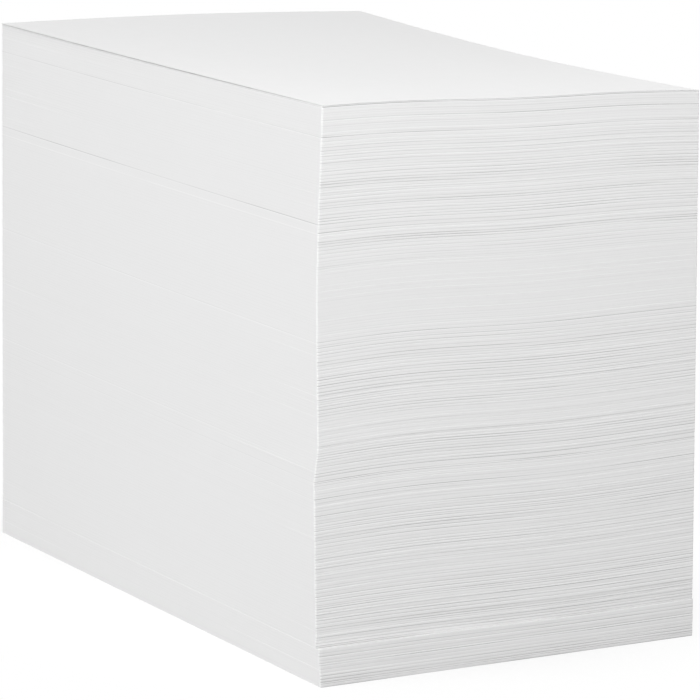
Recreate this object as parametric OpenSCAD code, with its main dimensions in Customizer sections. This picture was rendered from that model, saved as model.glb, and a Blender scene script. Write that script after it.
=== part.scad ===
// A tall pile of loose white office paper: five reams laid one on another, unwrapped.
// Millimetres, +Z up. The pile stands on Z = 0, and the origin is under the middle of the
// lowest sheet. The short side of the sheets runs along X, the long side along Y.
// In each sheet, front is towards -Y and left is towards -X.

/* [Sheet] */
// Short side of one sheet
sheet_w = 210; // [148:1:297]
// Long side of one sheet
sheet_l = 297; // [210:1:420]
// Height that one sheet takes up in the pile, with the air between sheets
sheet_t = 0.1035; // [0.08:0.0005:0.2]

/* [Pile] */
// Sheets in one ream
ream_sheets = 500; // [250:10:600]
// Batches of sheets in one ream that slid together when the ream was knocked square
ream_batches = 30; // [10:1:36]
// Batches at the very bottom that stand proud of the rest
base_batches = 10; // [2:1:18]
// Batches, counted from the bottom, up to which the front left corner swings out to the left
swung_batches = 54; // [30:1:80]
// Batches above them over which the corner goes back in
ease_batches = 9; // [4:1:20]

/* [Edges] */
// How far a batch steps back over its own height at the short sides
short_step = 0.55; // [0.3:0.05:1.5]
// How far a batch steps back over its own height at the long sides
long_step = 0.15; // [0.1:0.05:0.8]
// Share of these steps that is left where the sheets lie flush
flush_share = 0.35; // [0.2:0.05:1]
// How far the lowest batches stand out all round
base_proud = 0.4; // [0.1:0.1:1.5]
// How far the front left corner is set back just above the proud batches
corner_push = 3.2; // [0:0.1:4]
// How far this corner of the swung batches stands out to the left at the most
corner_swing = 2; // [0:0.1:4]
// How far the same corner of the uppermost batches stands forward
corner_pull = 3; // [0:0.1:4]
// How far it is set in from the left there
corner_tuck = 2; // [0:0.1:4]

/* [Lean] */
// Sideways lean of the top of the pile, to the right when positive
lean_x = -4.5; // [-16:0.5:16]
// Lean of the top of the pile towards the back
lean_y = 13; // [-16:0.5:16]
// Turn of the top of the pile against the lowest sheet, in degrees
twist = -1.2; // [-3:0.1:3]

/* [Curl] */
// Rise of the front left corner of the top sheets
curl_front_left = 4.7; // [-6:0.1:6]
// Rise of the front right corner of the top sheets
curl_front_right = 1.7; // [-6:0.1:6]
// Rise of the back left corner of the top sheets
curl_back_left = -3.2; // [-6:0.1:6]
// Rise of the back right corner of the top sheets
curl_back_right = -4.4; // [-6:0.1:6]
// Fall of the front left corner halfway up the pile
droop_front_left = 1; // [0:0.1:4]
// Rise of the front right corner halfway up the pile
lift_front_right = 2.8; // [0:0.1:4]
// Rise of the back left corner halfway up the pile
lift_back_left = 0.8; // [0:0.1:4]
// Height of the long wave that runs along the front edges halfway up the pile
front_wave = 1.1; // [0:0.1:3]
// Height of the short ripple on that wave in the upper sheets
front_ripple = 0.5; // [0:0.1:2]
// Rise of the middle of the back edge of the top sheets
back_crown = 1.5; // [0:0.1:4]
// Sag of the middle of the right edge of the top sheets
right_sag = 2.8; // [0:0.1:4]
// Sag of the middle of the left edge of the top sheets
left_sag = 0.5; // [0:0.1:4]

/* [Top sheet] */
// How far the loose top sheet hangs over the left side
top_slip_x = 0.2; // [0:0.1:3]
// How far the loose top sheet hangs over the front
top_slip_y = 0.2; // [0:0.1:3]
// Turn of the loose top sheet against the sheet below, in degrees
top_turn = 0.1; // [-1:0.05:1]
// Air under the middle of the loose top sheet
top_air = 0.1; // [0.05:0.01:0.5]
// Further rise of its left edge
top_edge_rise = 0.2; // [0:0.1:2]

/* [Hidden] */
reams = 5;
// Heights of the bands where the sheets lie flush, and half the height of each band, as shares
// of the height of the pile
flush_bands = [[0.70, 0.07], [0.38, 0.03], [0.26, 0.02]];
// Straight stretches into which the short and the long side of a sheet are divided
parts_across = 6;
parts_along = 3;
// Share of the height above which the front left corner stands forward
pulled_from = 0.68;
// Rise of that stand forward towards the top, 1 when even
pull_power = 1.3;
// Share of the height over which the bending of the sheets builds up from the flat table
settle = 0.08;
// The smallest part of a full step that a batch makes, so that no two rims ever meet
least_step = 0.4;
// A ream has whole batches only
batches_each = round(ream_batches);
batches = reams * batches_each;
pile_h = (reams * ream_sheets - 1) * sheet_t;
rim_n = 2 * (parts_across + parts_along);
inner_n = (parts_across - 1) * (parts_along - 1);

// An even scatter between 0 and 1 that is the same each time for the same batch
function scatter(i) = let (s = 437.585 * sin(78.233 * i + 12.99)) s - floor(s);

// 0 in the middle of a flush band, 1 well away from it
function off_band(h, band) = 1 - exp(-pow((h - band[0]) / band[1], 2));
function looseness(h) =
    flush_share + (1 - flush_share) * min([for (band = flush_bands) off_band(h, band)]);

// The step that batch i makes over its height, at the short and at the long sides
function step_size(i) =
    looseness((i + 0.5) / batches) * (least_step + (1 - least_step) * scatter(i));

// Bending of the sheets at height share h. The place on the sheet is given by u from left to
// right and v from front to back, both from 0 to 1.
function halfway(h) = 4 * h * (1 - h);
function front_edge(u, h) =
    (1 - u) * (curl_front_left * h - droop_front_left * halfway(h))
    + u * (curl_front_right * h + lift_front_right * halfway(h))
    + front_wave * halfway(min(1, 0.5 * h / 0.42)) * sin(360 * u)
    + front_ripple * min(1, 1.4 * h) * sin(540 * u)
    + front_ripple * (2.2 * h - 1) * sin(180 * u);
function back_edge(u, h) =
    (1 - u) * (curl_back_left * h + lift_back_left * halfway(h))
    + u * curl_back_right * h
    + back_crown * h * sin(180 * u);
function bend(u, v, h) =
    min(1, h / settle) * (
        (1 - v) * front_edge(u, h) + v * back_edge(u, h)
        - h * sin(180 * v) * ((1 - u) * left_sag + u * right_sag));

// The point u, v of a sheet that lies at height share h, with its edges set back by inset
// from the nominal outline, and with its front left corner moved by shift
function sheet_point(u, v, h, inset, shift) =
    let (
        x = (u - 0.5) * (sheet_w - 2 * inset[0]) + shift[0] * (1 - u) * (1 - v),
        y = (v - 0.5) * (sheet_l - 2 * inset[1]) + shift[1] * (1 - u) * (1 - v),
        a = twist * h)
    [
        x * cos(a) - y * sin(a) + lean_x * h,
        x * sin(a) + y * cos(a) + lean_y * h,
        pile_h * h + bend(u, v, h)
    ];

// Set-back of the foot and of the top of batch i. The top of the last proud batch stays out as
// a ledge, and every other top is drawn in under the foot of the batch above.
function stand_back(i) = i < base_batches ? 0 : base_proud;
function foot_inset(i) = [stand_back(i), stand_back(i)];
function top_inset(i) =
    i == base_batches - 1
        ? [0, 0]
        : foot_inset(i) + step_size(i) * [long_step, short_step];

// Share of the way that a rim, at a place counted in batches, has climbed between two others
function climbed(place, from, to) = min(1, max(0, (place - from) / (to - from)));
// The share of the swing to the left, which grows up to the last swung batch, and the share that
// has built up near the top of the stand forward
function swing_share(place) =
    climbed(place, base_batches, swung_batches)
    - climbed(place, swung_batches, swung_batches + ease_batches);
function top_share(place) = climbed(place, pulled_from * batches, batches);
// How far the front left corner is moved, to the right and back, at the foot of batch i (part 0)
// or at its top (part 1)
function corner_shift(i, part) =
    i < base_batches ? [0, 0]
    : let (place = i + part)
    [
        corner_tuck * top_share(place) - corner_swing * swing_share(place),
        corner_push * (1 - climbed(place, base_batches, swung_batches + ease_batches))
            - corner_pull * pow(top_share(place), pull_power)
    ];

// The places of the rim of a sheet, in order: front, right, back and left side
function rim_place(k) =
    k < parts_across ? [k / parts_across, 0]
    : k < parts_across + parts_along ? [1, (k - parts_across) / parts_along]
    : k < 2 * parts_across + parts_along
        ? [1 - (k - parts_across - parts_along) / parts_across, 1]
    : [0, 1 - (k - 2 * parts_across - parts_along) / parts_along];
// The number along the rim of the rim place at column c and row r of the grid of places
function rim_index(c, r) =
    r == 0 ? c
    : c == parts_across ? parts_across + r
    : r == parts_along ? 2 * parts_across + parts_along - c
    : rim_n - r;
function on_rim(c, r) = c == 0 || c == parts_across || r == 0 || r == parts_along;

function rim_points(h, inset, shift) =
    [for (k = [0:rim_n - 1]) let (p = rim_place(k)) sheet_point(p[0], p[1], h, inset, shift)];
function inner_points(h, inset, shift) =
    [for (r = [1:parts_along - 1], c = [1:parts_across - 1])
        sheet_point(c / parts_across, r / parts_along, h, inset, shift)];

// Faces are listed clockwise as seen from outside
function flip(faces) = [for (f = faces) [f[2], f[1], f[0]]];
// The band of triangles between the rim that starts at point a and the rim above or inside it
// that starts at point b
function band(a, b) =
    [for (k = [0:rim_n - 1], half = [0, 1])
        let (n = (k + 1) % rim_n)
        half == 0 ? [a + k, b + k, b + n] : [a + k, b + n, a + n]];
// The upper face of a sheet whose rim starts at point rim and whose inner points start at inner
function sheet_face(rim, inner) =
    let (at = function (c, r)
        on_rim(c, r) ? rim + rim_index(c, r) : inner + (r - 1) * (parts_across - 1) + c - 1)
    [for (r = [0:parts_along - 1], c = [0:parts_across - 1], half = [0, 1])
        half == 0
            ? [at(c, r), at(c, r + 1), at(c + 1, r + 1)]
            : [at(c, r), at(c + 1, r + 1), at(c + 1, r)]];

// The top of batch i, as the face on which the next batch lies. Batch -1 is the table.
function seat_inset(i) = i < 0 ? step_size(i) * [long_step, short_step] : top_inset(i);
function seat_shift(i) = i < 0 ? [0, 0] : corner_shift(i, 1);

// One ream, n = 1 at the bottom: a block of sheets whose batches each stand on a slightly
// wider foot. Its underside is the upper face of the ream below, and a ledge out to its own rim.
module ream(n) {
    first = (n - 1) * batches_each;
    last = n * batches_each - 1;
    h_low = first / batches;
    h_high = (last + 1) / batches;
    seat = rim_points(h_low, seat_inset(first - 1), seat_shift(first - 1));
    rims = [for (i = [first:last], part = [0, 1])
        part == 0
            ? rim_points(i / batches, foot_inset(i), corner_shift(i, part))
            : rim_points((i + 1) / batches, top_inset(i), corner_shift(i, part))];
    rim_count = 2 * batches_each;
    low_inner = (rim_count + 1) * rim_n;
    high_inner = low_inner + inner_n;
    points = concat(
        seat,
        [for (rim = rims) each rim],
        inner_points(h_low, seat_inset(first - 1), seat_shift(first - 1)),
        inner_points(h_high, top_inset(last), corner_shift(last, 1)));
    faces = concat(
        flip(sheet_face(0, low_inner)),
        [for (j = [0:rim_count - 1]) each band(j * rim_n, (j + 1) * rim_n)],
        sheet_face(rim_count * rim_n, high_inner));
    polyhedron(points = points, faces = faces, convexity = 10);
}

// The point u, v of the loose top sheet, on its underside or on its upper side
function top_point(u, v, upper) =
    let (
        p = sheet_point(u, v, 1, foot_inset(batches - 1), corner_shift(batches - 1, 1)),
        x = p[0] - lean_x,
        y = p[1] - lean_y)
    [
        x * cos(top_turn) - y * sin(top_turn) + lean_x - top_slip_x,
        x * sin(top_turn) + y * cos(top_turn) + lean_y - top_slip_y,
        p[2] + top_air + top_edge_rise * pow(1 - u, 4) * sin(180 * v) + (upper ? sheet_t : 0)
    ];

module loose_sheet() {
    rim = [for (k = [0:rim_n - 1]) rim_place(k)];
    inner =
        [for (r = [1:parts_along - 1], c = [1:parts_across - 1])
            [c / parts_across, r / parts_along]];
    places = concat(rim, inner);
    points = [for (upper = [false, true], p = places) top_point(p[0], p[1], upper)];
    side = len(places);
    faces = concat(
        flip(sheet_face(0, rim_n)),
        band(0, side),
        sheet_face(side, side + rim_n));
    polyhedron(points = points, faces = faces, convexity = 4);
}

module ream_1() {
    color("whitesmoke") ream(1);
}

module ream_2() {
    color("white") ream(2);
}

module ream_3() {
    color("whitesmoke") ream(3);
}

module ream_4() {
    color("white") ream(4);
}

module ream_5() {
    color("whitesmoke") ream(5);
}

module top_sheet() {
    color("white") loose_sheet();
}

ream_1();
ream_2();
ream_3();
ream_4();
ream_5();
top_sheet();
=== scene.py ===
import math
import random
from bisect import bisect

import bmesh
import bpy
from mathutils import Matrix, Vector


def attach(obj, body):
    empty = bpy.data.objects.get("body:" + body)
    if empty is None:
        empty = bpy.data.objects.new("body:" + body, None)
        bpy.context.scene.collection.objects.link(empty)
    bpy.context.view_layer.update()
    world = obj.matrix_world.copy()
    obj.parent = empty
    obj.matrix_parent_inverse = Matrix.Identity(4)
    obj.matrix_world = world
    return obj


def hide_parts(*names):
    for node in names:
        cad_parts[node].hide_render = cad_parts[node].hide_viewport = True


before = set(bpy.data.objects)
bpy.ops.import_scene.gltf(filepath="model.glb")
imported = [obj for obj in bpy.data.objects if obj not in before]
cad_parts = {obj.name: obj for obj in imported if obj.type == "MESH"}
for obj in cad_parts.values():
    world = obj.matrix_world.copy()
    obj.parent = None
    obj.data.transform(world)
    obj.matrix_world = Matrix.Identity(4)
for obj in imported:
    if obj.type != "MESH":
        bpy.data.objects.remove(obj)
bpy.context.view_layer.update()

# The camera stands two metres off the front left corner of the pile, a little above its top,
# with a long lens, and is tipped slightly to one side.
bpy.context.scene.view_settings.view_transform = "Standard"
camera = bpy.data.objects.new("camera", bpy.data.cameras.new("camera"))
camera.data.lens = 235.9
camera.data.sensor_width = 36
camera_place = (-1.1977, -1.8032, 0.5895)
camera_turn = 33.61
camera_dip = 12.33
camera_tip = 2.71
camera.matrix_world = (
    Matrix.Translation(camera_place)
    @ Matrix.Rotation(math.radians(-camera_turn), 4, "Z")
    @ Matrix.Rotation(math.radians(90 - camera_dip), 4, "X")
    @ Matrix.Rotation(math.radians(camera_tip), 4, "Z")
)
bpy.context.scene.collection.objects.link(camera)
bpy.context.scene.camera = camera

# The studio: a pale floor that runs on into a white background. The camera sees the floor white
# and with the pile's soft shadow on it, and what the floor throws back on the paper is dimmer.
floor_reach = 8
floor_thrown_back = 0.35
floor_seen = 0.97
shadow_near = 0.05
shadow_far = 0.22
room_light = 0.29
background_white = 1.0
pile_middle = Vector((0, 0, 0.13))

floor_mesh = bmesh.new()
bmesh.ops.create_grid(floor_mesh, x_segments=1, y_segments=1, size=floor_reach)
floor = bpy.data.objects.new("floor", bpy.data.meshes.new("floor"))
floor_mesh.to_mesh(floor.data)
floor_mesh.free()
bpy.context.scene.collection.objects.link(floor)


def seen_by_camera(other_ray):
    """1 for what the camera sees directly or by this other kind of ray, and 0 for the rest."""
    rays = nodes.new("ShaderNodeLightPath")
    either = nodes.new("ShaderNodeMath")
    either.operation = "MAXIMUM"
    links.new(rays.outputs["Is Camera Ray"], either.inputs[0])
    links.new(rays.outputs[other_ray], either.inputs[1])
    return either.outputs["Value"]


# Near the pile the floor is matt paint, which takes the shadow. Further off it glows white.
floor_paint = bpy.data.materials.new("floor paint")
floor_paint.use_nodes = True
nodes = floor_paint.node_tree.nodes
links = floor_paint.node_tree.links
nodes.clear()
in_picture = seen_by_camera("Is Glossy Ray")
paint = nodes.new("ShaderNodeMix")
paint.data_type = "RGBA"
paint.inputs["A"].default_value = (floor_thrown_back, floor_thrown_back, floor_thrown_back, 1)
paint.inputs["B"].default_value = (floor_seen, floor_seen, floor_seen, 1)
links.new(in_picture, paint.inputs["Factor"])
matt = nodes.new("ShaderNodeBsdfDiffuse")
links.new(paint.outputs["Result"], matt.inputs["Color"])
place = nodes.new("ShaderNodeTexCoord")
distance = nodes.new("ShaderNodeVectorMath")
distance.operation = "LENGTH"
links.new(place.outputs["Object"], distance.inputs[0])
fade = nodes.new("ShaderNodeMapRange")
fade.interpolation_type = "SMOOTHSTEP"
fade.inputs["From Min"].default_value = shadow_near
fade.inputs["From Max"].default_value = shadow_far
links.new(distance.outputs["Value"], fade.inputs["Value"])
white_part = nodes.new("ShaderNodeMath")
white_part.operation = "MULTIPLY"
links.new(fade.outputs["Result"], white_part.inputs[0])
links.new(in_picture, white_part.inputs[1])
glow = nodes.new("ShaderNodeEmission")
blend = nodes.new("ShaderNodeMixShader")
links.new(white_part.outputs["Value"], blend.inputs["Fac"])
links.new(matt.outputs["BSDF"], blend.inputs[1])
links.new(glow.outputs["Emission"], blend.inputs[2])
output = nodes.new("ShaderNodeOutputMaterial")
links.new(blend.outputs["Shader"], output.inputs["Surface"])
floor.data.materials.append(floor_paint)

world = bpy.data.worlds.new("studio")
bpy.context.scene.world = world
world.use_nodes = True
nodes = world.node_tree.nodes
links = world.node_tree.links
room = nodes.new("ShaderNodeMix")
room.data_type = "FLOAT"
room.inputs["A"].default_value = room_light
room.inputs["B"].default_value = background_white
links.new(seen_by_camera("Is Transmission Ray"), room.inputs["Factor"])
links.new(room.outputs["Result"], nodes["Background"].inputs["Strength"])
nodes["Background"].inputs["Color"].default_value = (1, 1, 1, 1)


def softbox(name, place, size, power):
    """A square lamp that faces the middle of the pile."""
    lamp = bpy.data.objects.new(name, bpy.data.lights.new(name, "AREA"))
    lamp.data.size = size
    lamp.data.energy = power
    lamp.location = place
    towards = pile_middle - lamp.location
    lamp.rotation_euler = towards.to_track_quat("-Z", "Y").to_euler()
    lamp.visible_camera = False
    bpy.context.scene.collection.objects.link(lamp)


softbox("left softbox", (-1.6, 0.08, 0.35), 0.8, 12.8)
softbox("front softbox", (-0.3, -1.3, 1.0), 0.8, 16.4)
softbox("overhead softbox", (-0.2, 0.35, 1.8), 1.0, 8.9)
softbox("back softbox", (1.2, 1.2, 0.2), 0.35, 9)

# The five reams: cut office paper, 500 sheets each, laid one on another unwrapped. The sheets
# are pressed flat by their own weight, slide in small batches, and bend to a common wave.
# Their measures are in millimetres.
mm = 0.001
sheet_w = 210
sheet_l = 297
pile_h = 258.65
reams = 5
ream_h = pile_h / reams

# The lean and turn of the pile at its top.
lean_x = -4.5
lean_y = 13
twist = math.radians(-1.2)

# The bending of the sheets: how far the corners, the edges and the waves on them rise or fall at
# the top of the pile and halfway up. It builds up from the flat table over the lowest sheets.
curl_front_left = 4.7
curl_front_right = 1.7
curl_back_left = -3.2
curl_back_right = -4.4
droop_front_left = 1
lift_front_right = 2.8
lift_back_left = 0.8
front_wave = 1.1
wave_peak = 0.42
front_ripple = 0.5
ripple_growth = 1.4
arch_growth = 2.2
back_crown = 1.5
left_sag = 0.5
right_sag = 2.8
settle = 0.08

# The front left corner: set back above the lowest packet, swung out to the left up to swung_h
# and in again up to eased_h, and pulled forward and tucked in above pulled_h.
base_packet_h = 17.24
swung_h = 93.1
eased_h = 108.6
pulled_h = 175.9
base_push = 1.4
corner_push = 3.2
corner_swing = 2
corner_pull = 3
pull_power = 1.3
corner_tuck = 2

# The batches of sheets that slid together: how thick they are, how far back from the solid
# ream's outline they stand, and how far they have slid and turned at the most.
thinnest_batch = 0.9
thickest_batch = 1.8
least_batch = 0.6
stand_back = 0.44
side_back_low = 0.07
side_back_growth = 0.35
base_stand_back = 0.1
base_side_back = 0.03
most_right = 0.01
most_back = 0.1
most_turn = 0.0005
side_turn = 0.3
same_height = 0.01
short_side_depth = 0.3
half_step = 0.03
corner_round = 0.7
columns = 36
rows = 24

# The painted lines on the batches: the least and most painted shade at the foot, the least and
# most painted highlight at the rim, and what is left of them and of the grain and painted gap
# shade on the long sides, which were knocked square.
foot_shade_strengths = (0.35, 1.1)
rim_highlight_strengths = (0.35, 1)
side_shade_and_highlight = 0.06
side_grain_and_gap_shade = 0.08
# Below this height the painted rim highlights are stronger, by the factor after it; the packets'
# ends and the loosest stretches have painted rim highlights of their own.
strong_highlight_h = 45
strong_rim_highlight = 1.6
packet_rim_highlight = 0.8
loosest_rim_highlight = 0.5

# The bands in which the sheets lie more flush: the height of each one's middle and half its
# height, as shares of the pile's, and how much of the looseness is left there.
flush_bands = (
    (0.975, 0.025, 0.45),
    (0.925, 0.022, 0.75),
    (0.80, 0.03, 0.88),
    (0.671, 0.072, 0.32),
    (0.445, 0.022, 0.7),
    (0.32, 0.03, 0.65),
    (0.19, 0.01, 0.75),
)
# The packets that the pile was built up from: the height of each one's upper end, how far it
# has slid to the right, slid back and turned, and how strong the painted shade at the foot of the
# sheets above that end and the painted highlight on the rim below it are on the long sides.
packets = (
    (2.2, 0, 0, 0, 0, 0),
    (3.5, 0, 0, 0, 0, 0),
    (5.0, 0, 0, 0, 0, 0),
    (17.24, 0, 0, 0, 0.1, 0),
    (25.0, 0, 0.05, 0, 0, 0),
    (70.8, 0.01, 0, 0, 0, 0.1),
    (77.5, 0, -0.05, 0, 0, 0.1),
    (85.2, 0, 0.02, 0, 0.1, 0.4),
    (93.1, 0.01, 0.05, 0, 0.15, 0.4),
    (99.6, 0, 0, 0, 0.1, 0.4),
    (155.19, 0, 0, 0, 0.2, 0.6),
    (203.2, 0.02, 0, 0, 0, 0.5),
    (206.92, 0, 0.05, 0, 0.75, 0.6),
    (224.3, 0.02, 0, 0, 0.1, 0.1),
    (244.8, 0.02, -0.15, 0, 0.4, 0.3),
    (252.1, 0.04, -0.1, 0.0004, 0, 0.1),
    (257.9, 0.05, -0.1, -0.0005, 0.2, 0.1),
    # The thin batch under the top sheet: the painted shade over its foot stands for the top
    # sheet's shadow, and its rim gets no painted highlight.
    (258.65, 0.05, -0.05, 0, 0, 0),
)
# The stretches of height in which the sheets lie loosest, with full painted shade at each batch's
# foot and painted shade in the gaps between the sheets, and how strong the grain and painted gap
# shade of their edges are there.
loosest = ((2.2, 5.0, 2.5), (17.3, 19.2, 1))
slides = random.Random(5)


def halfway(h):
    """1 halfway up and 0 at the foot and the top."""
    return 4 * h * (1 - h)


def front_edge_rise(u, h):
    """How far the front edge of a sheet at height share h stands above its level."""
    left = curl_front_left * h - droop_front_left * halfway(h)
    right = curl_front_right * h + lift_front_right * halfway(h)
    wave = front_wave * halfway(min(1, 0.5 * h / wave_peak)) * math.sin(2 * math.pi * u)
    ripple = front_ripple * min(1, ripple_growth * h) * math.sin(3 * math.pi * u)
    arch = front_ripple * (arch_growth * h - 1) * math.sin(math.pi * u)
    return (1 - u) * left + u * right + wave + ripple + arch


def back_edge_rise(u, h):
    """The same for its back edge."""
    left = curl_back_left * h + lift_back_left * halfway(h)
    corners = (1 - u) * left + u * curl_back_right * h
    return corners + back_crown * h * math.sin(math.pi * u)


def sheet_rise(u, v, h):
    """The bending of a sheet at the place u from left to right and v from front to back."""
    sag = h * math.sin(math.pi * v) * ((1 - u) * left_sag + u * right_sag)
    edges = (1 - v) * front_edge_rise(u, h) + v * back_edge_rise(u, h)
    return min(1, h / settle) * (edges - sag)


def looseness(h):
    """1 where the batches lie loose, and less within the bands that lie flush."""
    return min(
        1 - (1 - left) * math.exp(-(((h - middle) / half) ** 4))
        for middle, half, left in flush_bands
    )


def corner_shift(height, packet_top):
    """How far the front left corner of the sheets at this height is moved, right and back."""
    if packet_top <= base_packet_h:
        return 0, base_push * height / base_packet_h
    swing = (height - base_packet_h) / (swung_h - base_packet_h)
    if height > swung_h:
        swing = max(0, 1 - (height - swung_h) / (eased_h - swung_h))
    push = max(0, 1 - (height - base_packet_h) / (eased_h - base_packet_h))
    pull = max(0, height - pulled_h) / (pile_h - pulled_h)
    right = corner_tuck * pull - corner_swing * swing
    return right, corner_push * push - corner_pull * pull**pull_power


def leaned(x, y, z, h):
    """The place in the leaning, twisted pile of a point of the sheet at height share h."""
    turned_x = x * math.cos(twist * h) - y * math.sin(twist * h)
    turned_y = x * math.sin(twist * h) + y * math.cos(twist * h)
    return ((turned_x + lean_x * h) * mm, (turned_y + lean_y * h) * mm, z * mm)


def batch_cuts(low, high):
    """The heights at which one batch of sheets ends and the next begins."""
    inner = (low + same_height, high - same_height)
    cuts = [packet[0] for packet in packets if inner[0] < packet[0] < inner[1]]
    height = low
    while height < high - thickest_batch:
        height += slides.uniform(thinnest_batch, thickest_batch)
        clear = all(abs(height - cut) > least_batch for cut in cuts)
        if clear and height < high - least_batch:
            cuts.append(height)
    return sorted(cuts)


def slip(foot, top):
    """How one batch has slid, and its flushness, grain, painted gap shade, painted foot shade and
    painted rim highlight on the short and on the long sides.
    """
    height = (foot + top) / 2
    loose = looseness(height / pile_h)
    packet = next(packet for packet in packets if height < packet[0])
    in_base = height < base_packet_h
    shade = [loose**2 * slides.uniform(*foot_shade_strengths), side_shade_and_highlight]
    light = [loose**2 * slides.uniform(*rim_highlight_strengths), side_shade_and_highlight]
    if height < strong_highlight_h:
        light[0] *= strong_rim_highlight
    grain_and_gap_shade = loose
    # Where the sheets lie loosest, the foot gets full painted shade, the rim a weaker painted
    # highlight, and the gaps stronger painted shade.
    for low, high, grain_and_gap_shade_strength in loosest:
        if low < height < high:
            shade[0] = 1
            light[0] = loosest_rim_highlight
            grain_and_gap_shade = grain_and_gap_shade_strength
    for end in packets:
        if abs(end[0] - foot) < same_height:
            shade = [1, end[4]]
        if abs(end[0] - top) < same_height:
            light = [packet_rim_highlight if top < pile_h else 0, end[5]]
    side_back = side_back_low + side_back_growth * height / pile_h
    return {
        "back": base_stand_back if in_base else stand_back,
        "side_back": base_side_back if in_base else side_back,
        "x": packet[1] + slides.uniform(-most_right, most_right),
        "y": packet[2] + loose * slides.uniform(-most_back, most_back),
        "turn": packet[3] + loose * slides.uniform(-most_turn, most_turn),
        "packet_top": packet[0],
        "grain_and_gap_shade": [grain_and_gap_shade, side_grain_and_gap_shade],
        "flush": [1 - loose, 0],
        "shade": shade,
        "light": light,
    }


def cut_through(block, place, direction):
    """Draws a line of edges round the block, where a plane goes through it."""
    everything = block.verts[:] + block.edges[:] + block.faces[:]
    bmesh.ops.bisect_plane(block, geom=everything, plane_co=place, plane_no=direction)


def ream_block(number):
    """One ream: a block with rounded corners, cut into batches that are slid and bent."""
    low = (number - 1) * ream_h
    high = number * ream_h
    cuts = batch_cuts(low, high)
    batches = [slip(foot, top) for foot, top in zip([low] + cuts, cuts + [high])]

    block = bmesh.new()
    bmesh.ops.create_cube(block, size=1)
    bmesh.ops.scale(block, vec=(sheet_w, sheet_l, high - low), verts=block.verts)
    bmesh.ops.translate(block, vec=(0, 0, (low + high) / 2), verts=block.verts)
    upright = [e for e in block.edges if abs(e.verts[0].co.z - e.verts[1].co.z) > 1]
    bmesh.ops.bevel(
        block, geom=upright, offset=corner_round, offset_type="OFFSET", segments=2,
        profile=0.5, affect="EDGES", material=-1,
    )
    for cut in cuts:
        cut_through(block, (0, 0, cut - half_step), (0, 0, 1))
        cut_through(block, (0, 0, cut + half_step), (0, 0, 1))
    for column in range(1, columns):
        cut_through(block, ((column / columns - 0.5) * sheet_w, 0, 0), (1, 0, 0))
    for row in range(1, rows):
        cut_through(block, (0, (row / rows - 0.5) * sheet_l, 0), (0, 1, 0))

    # The vertices carry the batch's height, flushness, grain and painted gap shade, distances to
    # its foot and top, and the strength of its painted foot shade and painted rim highlight.
    level = block.verts.layers.float.new("pile_height")
    grain_and_gap_shade = block.verts.layers.float.new("grain_and_gap_shade_strength")
    flush = block.verts.layers.float.new("flushness")
    above_foot = block.verts.layers.float.new("above_foot")
    below_top = block.verts.layers.float.new("below_top")
    shade = block.verts.layers.float.new("foot_shade")
    light = block.verts.layers.float.new("top_light")
    for vert in block.verts:
        x, y, z = vert.co
        h = z / pile_h
        u = x / sheet_w + 0.5
        v = y / sheet_l + 0.5
        order = bisect(cuts, z)
        batch = batches[order]
        foot = cuts[order - 1] if order else low
        top = cuts[order] if order < len(cuts) else high
        # Each look in the batch is a pair, for the short sides and for the long ones.
        side = 1 if abs(y) < sheet_l / 2 - short_side_depth else 0
        vert[level] = z
        vert[grain_and_gap_shade] = batch["grain_and_gap_shade"][side]
        vert[flush] = batch["flush"][side]
        vert[above_foot] = z - foot
        vert[below_top] = top - z
        vert[shade] = batch["shade"][side]
        vert[light] = batch["light"][side]
        draw_y = 1 - 2 * batch["back"] / sheet_l
        draw_x = 1 - 2 * batch["side_back"] / sheet_w
        corner_x, corner_y = corner_shift(z, batch["packet_top"])
        slid_x = x * draw_x + batch["x"] - batch["turn"] * y * side_turn
        slid_x += corner_x * (1 - u) * (1 - v)
        slid_y = y * draw_y + batch["y"] + batch["turn"] * x
        slid_y += corner_y * (1 - u) * (1 - v)
        vert.co = leaned(slid_x, slid_y, z + sheet_rise(u, v, h), h)
    name = f"ream_{number}_sheets"
    ream = bpy.data.objects.new(name, bpy.data.meshes.new(name))
    block.to_mesh(ream.data)
    block.free()
    bpy.context.scene.collection.objects.link(ream)
    return ream


# The cut edges: white paper, dimmer where the sheets lie flush, with fine grey lines along the
# sheets that are partly their grain and partly painted shade of the air between them, a painted
# shade line over each batch's foot and a painted highlight under its top.
white_tone = 0.875
flush_tone = 0.84
grain_and_gap_shade_tone = 0.84
foot_shade_tone = 0.54
rim_highlight_tone = 0.99
line_core = 0.1
line_edge = 0.6
sheet_lines = (9, 9, 2.5)
fading = (14, 14, 0.6)

cut_paper = bpy.data.materials.new("cut edges of the sheets")
cut_paper.use_nodes = True
nodes = cut_paper.node_tree.nodes
links = cut_paper.node_tree.links
surface = nodes["Principled BSDF"]
surface.inputs["Roughness"].default_value = 0.85
surface.inputs["Specular IOR Level"].default_value = 0.25
place = nodes.new("ShaderNodeTexCoord")
split = nodes.new("ShaderNodeSeparateXYZ")
links.new(place.outputs["Object"], split.inputs["Vector"])
sheet_place = nodes.new("ShaderNodeCombineXYZ")
links.new(split.outputs["X"], sheet_place.inputs["X"])
links.new(split.outputs["Y"], sheet_place.inputs["Y"])


def batch_value(name):
    """What ream_block() has written on the vertices under this name."""
    value = nodes.new("ShaderNodeAttribute")
    value.attribute_name = name
    return value.outputs["Fac"]


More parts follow.
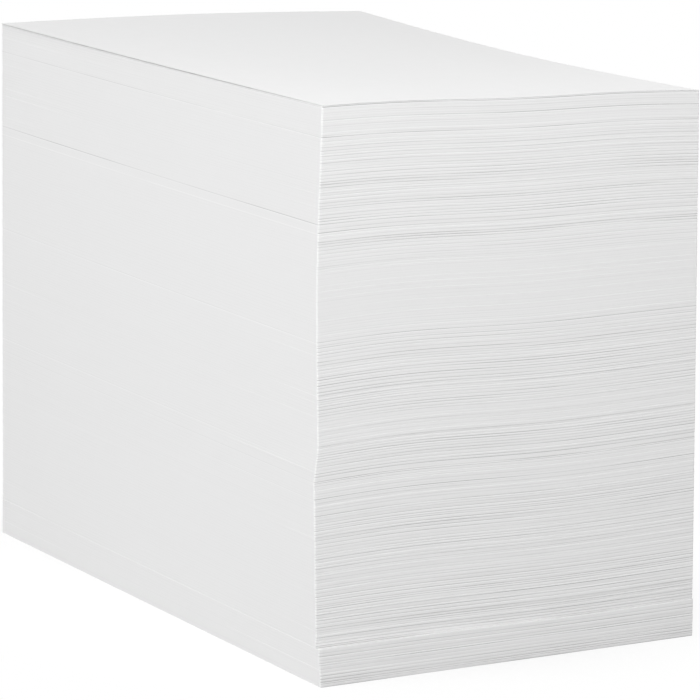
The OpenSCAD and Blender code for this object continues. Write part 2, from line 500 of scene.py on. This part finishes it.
def sheet_noise(stretch, detail):
    """Noise that is long along the sheets and short across them."""
    spread = nodes.new("ShaderNodeMapping")
    spread.inputs["Scale"].default_value = stretch
    links.new(sheet_place.outputs["Vector"], spread.inputs["Vector"])
    noise = nodes.new("ShaderNodeTexNoise")
    noise.inputs["Scale"].default_value = 1
    noise.inputs["Detail"].default_value = detail
    noise.inputs["Roughness"].default_value = 0.6
    links.new(spread.outputs["Vector"], noise.inputs["Vector"])
    return noise.outputs["Fac"]


def from_to(value, low, high, start, end):
    """The value's range low to high, brought smoothly to the range start to end."""
    share = nodes.new("ShaderNodeMapRange")
    share.interpolation_type = "SMOOTHSTEP"
    share.inputs["From Min"].default_value = low
    share.inputs["From Max"].default_value = high
    share.inputs["To Min"].default_value = start
    share.inputs["To Max"].default_value = end
    links.new(value, share.inputs["Value"])
    return share.outputs["Result"]


def product(first, second):
    result = nodes.new("ShaderNodeMath")
    result.operation = "MULTIPLY"
    links.new(first, result.inputs[0])
    links.new(second, result.inputs[1])
    return result.outputs["Value"]


def line(distance, strength):
    """A painted line (the shade over a batch's foot, and the highlight under its top) that is
    whole next to the batch's end and has faded out a little way from it.
    """
    near = from_to(batch_value(distance), line_core, line_edge, 1, 0)
    return product(near, batch_value(strength))


def tinted(tone, share):
    """A mix that turns its first colour by the share towards one tone of grey."""
    mix = nodes.new("ShaderNodeMix")
    mix.data_type = "RGBA"
    mix.inputs["B"].default_value = (tone, tone, tone, 1)
    links.new(share, mix.inputs["Factor"])
    return mix


links.new(batch_value("pile_height"), sheet_place.inputs["Z"])
# Fine lines along the sheets, partly the grain of their cut and partly painted shade in the air
# between them; the same noise bumps the edges.
fine_lines = from_to(sheet_noise(sheet_lines, 3), 0.35, 0.65, 0, 1)
sheets = product(fine_lines, batch_value("grain_and_gap_shade_strength"))
fades = from_to(sheet_noise(fading, 1), 0.35, 0.6, 0.35, 1)
facing = nodes.new("ShaderNodeNewGeometry")
parts = nodes.new("ShaderNodeSeparateXYZ")
links.new(facing.outputs["Normal"], parts.inputs["Vector"])
off_ledge = from_to(parts.outputs["Z"], 0.3, 0.9, 1, 0)
paper = tinted(flush_tone, batch_value("flushness"))
paper.inputs["A"].default_value = (white_tone, white_tone, white_tone, 1)
lined = tinted(grain_and_gap_shade_tone, sheets)
links.new(paper.outputs["Result"], lined.inputs["A"])
# A painted shade line over each batch's foot.
shaded = tinted(foot_shade_tone, product(line("above_foot", "foot_shade"), fades))
links.new(lined.outputs["Result"], shaded.inputs["A"])
# A painted highlight under each batch's top, kept off the ledges that face up.
rim_highlights = product(line("below_top", "top_light"), fades)
highlighted = tinted(rim_highlight_tone, product(rim_highlights, off_ledge))
links.new(shaded.outputs["Result"], highlighted.inputs["A"])
links.new(highlighted.outputs["Result"], surface.inputs["Base Color"])

# Each sheet's edge stands upright however the pile leans, so light falls on the sides as on
# upright walls. Only the ledges keep their own direction.
upright = nodes.new("ShaderNodeCombineXYZ")
links.new(parts.outputs["X"], upright.inputs["X"])
links.new(parts.outputs["Y"], upright.inputs["Y"])
links.new(from_to(parts.outputs["Z"], 0.3, 0.6, 0, 1), upright.inputs["Z"])
bump = nodes.new("ShaderNodeBump")
bump.inputs["Strength"].default_value = 0.3
bump.inputs["Distance"].default_value = 0.00008
links.new(sheets, bump.inputs["Height"])
links.new(upright.outputs["Vector"], bump.inputs["Normal"])
links.new(bump.outputs["Normal"], surface.inputs["Normal"])

for number in range(1, reams + 1):
    ream = ream_block(number)
    ream.data.materials.append(cut_paper)
    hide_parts(f"ream_{number}")
    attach(ream, "root")

# The loose top sheet: one more sheet of the same paper, which has slid and turned a little and
# lies on the pile with some air under it, most of all under its left edge.
sheet_t = 0.1035
top_turn = math.radians(0.1)
top_slip = 0.2
top_air = 0.077
left_edge_air = 0.25
leaf_back = 0.4

leaf = bmesh.new()
bmesh.ops.create_grid(leaf, x_segments=48, y_segments=64, size=0.5)
for vert in leaf.verts:
    u = vert.co.x + 0.5
    v = vert.co.y + 0.5
    corner = (1 - u) * (1 - v)
    across = vert.co.x * (sheet_w - 2 * leaf_back) + corner_tuck * corner
    along = vert.co.y * (sheet_l - 2 * leaf_back) - corner_pull * corner
    x, y, z = leaned(across, along, pile_h + sheet_rise(u, v, 1), 1)
    x -= lean_x * mm
    y -= lean_y * mm
    lift = top_air + left_edge_air * (1 - u) ** 4 * (1 - (1 - v) ** 4)
    vert.co = (
        x * math.cos(top_turn) - y * math.sin(top_turn) + (lean_x - top_slip) * mm,
        x * math.sin(top_turn) + y * math.cos(top_turn) + (lean_y - top_slip) * mm,
        z + lift * mm,
    )
upper = bmesh.ops.extrude_face_region(leaf, geom=leaf.faces[:])
raised = [part for part in upper["geom"] if isinstance(part, bmesh.types.BMVert)]
bmesh.ops.translate(leaf, vec=(0, 0, sheet_t * mm), verts=raised)
bmesh.ops.recalc_face_normals(leaf, faces=leaf.faces)
top_leaf = bpy.data.objects.new("top_leaf", bpy.data.meshes.new("top_leaf"))
leaf.to_mesh(top_leaf.data)
leaf.free()
top_leaf.data.shade_smooth()
top_leaf.data.set_sharp_from_angle(angle=math.radians(40))
bpy.context.scene.collection.objects.link(top_leaf)

# Its face is smooth, with faint clouds in the white and the finest fibres.
flat_paper = bpy.data.materials.new("face of the top sheet")
flat_paper.use_nodes = True
nodes = flat_paper.node_tree.nodes
links = flat_paper.node_tree.links
surface = nodes["Principled BSDF"]
surface.inputs["Roughness"].default_value = 0.85
surface.inputs["Specular IOR Level"].default_value = 0.25
place = nodes.new("ShaderNodeTexCoord")
clouds = nodes.new("ShaderNodeTexNoise")
clouds.inputs["Scale"].default_value = 160
clouds.inputs["Detail"].default_value = 3
links.new(place.outputs["Object"], clouds.inputs["Vector"])
cloudy_white = nodes.new("ShaderNodeMix")
cloudy_white.data_type = "RGBA"
cloudy_white.inputs["A"].default_value = (0.88, 0.88, 0.88, 1)
cloudy_white.inputs["B"].default_value = (0.9, 0.9, 0.9, 1)
links.new(clouds.outputs["Fac"], cloudy_white.inputs["Factor"])
links.new(cloudy_white.outputs["Result"], surface.inputs["Base Color"])
fibres = nodes.new("ShaderNodeTexNoise")
fibres.inputs["Scale"].default_value = 1800
fibres.inputs["Detail"].default_value = 4
links.new(place.outputs["Object"], fibres.inputs["Vector"])
bump = nodes.new("ShaderNodeBump")
bump.inputs["Strength"].default_value = 0.15
bump.inputs["Distance"].default_value = 0.00003
links.new(fibres.outputs["Fac"], bump.inputs["Height"])
links.new(bump.outputs["Normal"], surface.inputs["Normal"])
top_leaf.data.materials.append(flat_paper)
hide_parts("top_sheet")
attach(top_leaf, "root")
